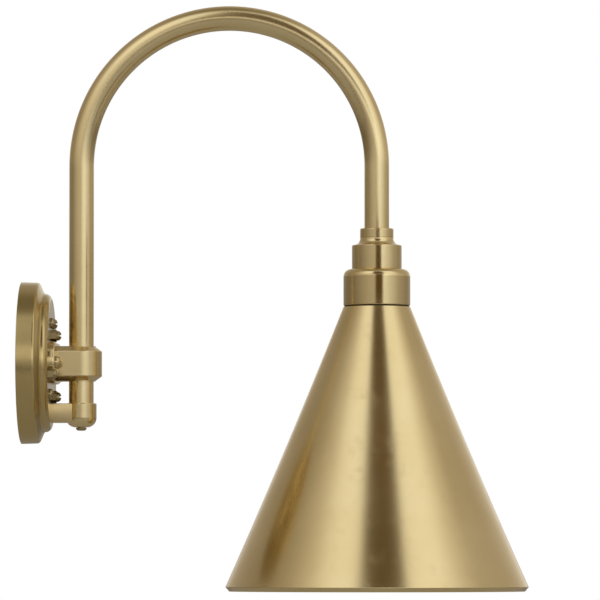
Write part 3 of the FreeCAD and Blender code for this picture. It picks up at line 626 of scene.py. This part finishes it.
# ---------------------------------------------------------------- cone shade
# A cone spun from brass sheet, with its rim turned in and down, clamped at its flat top. The
# spinning leaves its side very slightly hollow.
SHADE_SAG = 1.2
SHADE_TOP_RADIUS = 26.3
SHADE_RADIUS = 118.7
SHADE_WALL = 1.1
SHADE_EDGE_Z = -175.7
SHADE_BOTTOM = -179.2
SHADE_HOLE = 18.15


def hollowed(start, end, sag, steps=36):
    """Points between two ends of a line that bends towards the axis by sag at its middle."""
    start, end = np.array(start, float), np.array(end, float)
    share = np.linspace(0, 1, steps + 1)[1:-1, None]
    across = np.array([abs(end - start)[1], abs(end - start)[0]]) / np.linalg.norm(end - start)
    return start + (end - start) * share - across * sag * 4 * share * (1 - share)


inner_top = (SHADE_TOP_RADIUS - SHADE_WALL, CAP_BOTTOM - SHADE_WALL)
inner_edge = (SHADE_RADIUS - SHADE_WALL, SHADE_EDGE_Z + 0.1)
outer_top = (SHADE_TOP_RADIUS, CAP_BOTTOM)
outer_edge = (SHADE_RADIUS, SHADE_EDGE_Z)
shade_outline = rounded([
    (SHADE_HOLE, CAP_BOTTOM - SHADE_WALL), inner_top, *hollowed(inner_top, inner_edge, SHADE_SAG),
    inner_edge, (SHADE_RADIUS - 3.65, SHADE_BOTTOM + 0.55), (SHADE_RADIUS - 3.1, SHADE_BOTTOM, 0.3),
    (*outer_edge, 0.7), *hollowed(outer_edge, outer_top, SHADE_SAG), outer_top,
    (SHADE_HOLE, CAP_BOTTOM),
], steps=6)
shade = lathe("shade_cone", shade_outline, LAMP_AXIS, around=320)
shade_brass = satin_brass("shade_brass", LAMP_AXIS, rough=0.21, lines=0.22)
finish(shade, shade_brass, "arm", "satin_brass", "cone_shade")


# ---------------------------------------------------------------- screws, cap nuts and ring
# Small turned and milled brass fasteners in copies of the brass dimmed below the rest as painted
# shade, and the brass ring nut that clamps the shade to the lampholder.
def dress(material, slot, *nodes):
    """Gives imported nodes, which keep their own shape, a material."""
    for node in nodes:
        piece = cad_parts[node]
        for index in range(len(piece.data.materials)):
            piece.data.materials[index] = material


# The plate screws, cap nuts and pivot screw: brass dimmed to half as painted shade.
shaded_fastener_brass = satin_brass("shaded_fastener_brass", light=0.50, rough=0.30, lines=0.5)
dress(shaded_fastener_brass, "dark_brass", "plate_screws", "cap_nuts", "pivot_screw")
# The flange screws: brass dimmed to 0.8 as painted shade.
flange_screw_brass = satin_brass("flange_screw_brass", light=0.80, rough=0.24, lines=0.2)
dress(flange_screw_brass, "dark_brass", "flange_screws")
dress(satin_brass("ring_brass", LAMP_AXIS, light=0.9), "satin_brass", "shade_ring")


# ---------------------------------------------------------------- steel, bronze and china
# What the light holds inside: plated steel plates and rods, bronze bearings and contacts, a
# glazed china lampholder and covered leads.
def plain_finish(name, dark, pale, metal, rough, grain, depth):
    """A finish whose tone, roughness and relief follow one noise of the given grain."""
    material, paint = new_material(name)
    place = paint.object_place()
    speck = paint.node("ShaderNodeTexNoise", None, place, Scale=grain, Detail=4.0, Roughness=0.6)
    cloud = paint.node("ShaderNodeTexNoise", None, place, Scale=grain / 9, Detail=2.0)
    colour = paint.mix(speck * 0.6 + cloud * 0.4, dark, pale)
    relief = paint.node("ShaderNodeBump", None, Strength=0.3, Distance=depth * MM, Height=speck)
    surface = paint.node("ShaderNodeBsdfPrincipled", None, Base_Color=colour, Metallic=metal,
                         Roughness=(speck - 0.5) * 0.2 + rough, Normal=relief)
    paint.node("ShaderNodeOutputMaterial", None, surface)
    return material


steel = plain_finish("plated_steel", dark=(0.40, 0.40, 0.41, 1), pale=(0.66, 0.66, 0.67, 1),
                     metal=1.0, rough=0.36, grain=900, depth=0.02)
bronze = plain_finish("bearing_bronze", dark=(0.40, 0.24, 0.10, 1), pale=(0.58, 0.38, 0.18, 1),
                      metal=1.0, rough=0.38, grain=700, depth=0.02)
china = plain_finish("glazed_china", dark=(0.74, 0.73, 0.69, 1), pale=(0.84, 0.83, 0.80, 1),
                     metal=0.0, rough=0.16, grain=300, depth=0.01)
cover = plain_finish("lead_cover", dark=(0.020, 0.020, 0.021, 1), pale=(0.05, 0.05, 0.052, 1),
                     metal=0.0, rough=0.55, grain=900, depth=0.03)
green = plain_finish("dyed_green", dark=(0.05, 0.22, 0.08, 1), pale=(0.10, 0.34, 0.14, 1),
                     metal=0.6, rough=0.4, grain=900, depth=0.02)
dress(steel, "steel", "mounting_plate", "mounting_studs", "stiffener_plate", "stop_pin",
      "wire_nipple", "nipple_nut", "lower_arm_bolt", "foot_plug", "nose_bush", "fitter_nipple",
      "fitter_nut")
dress(bronze, "bronze", "upper_bush", "lower_bush", "thrust_washer", "screw_shell",
      "centre_contact")
dress(china, "porcelain", "socket_body")
dress(cover, "lead_cover", "supply_lead", "lamp_lead")
dress(green, "green_screw", "ground_screw")
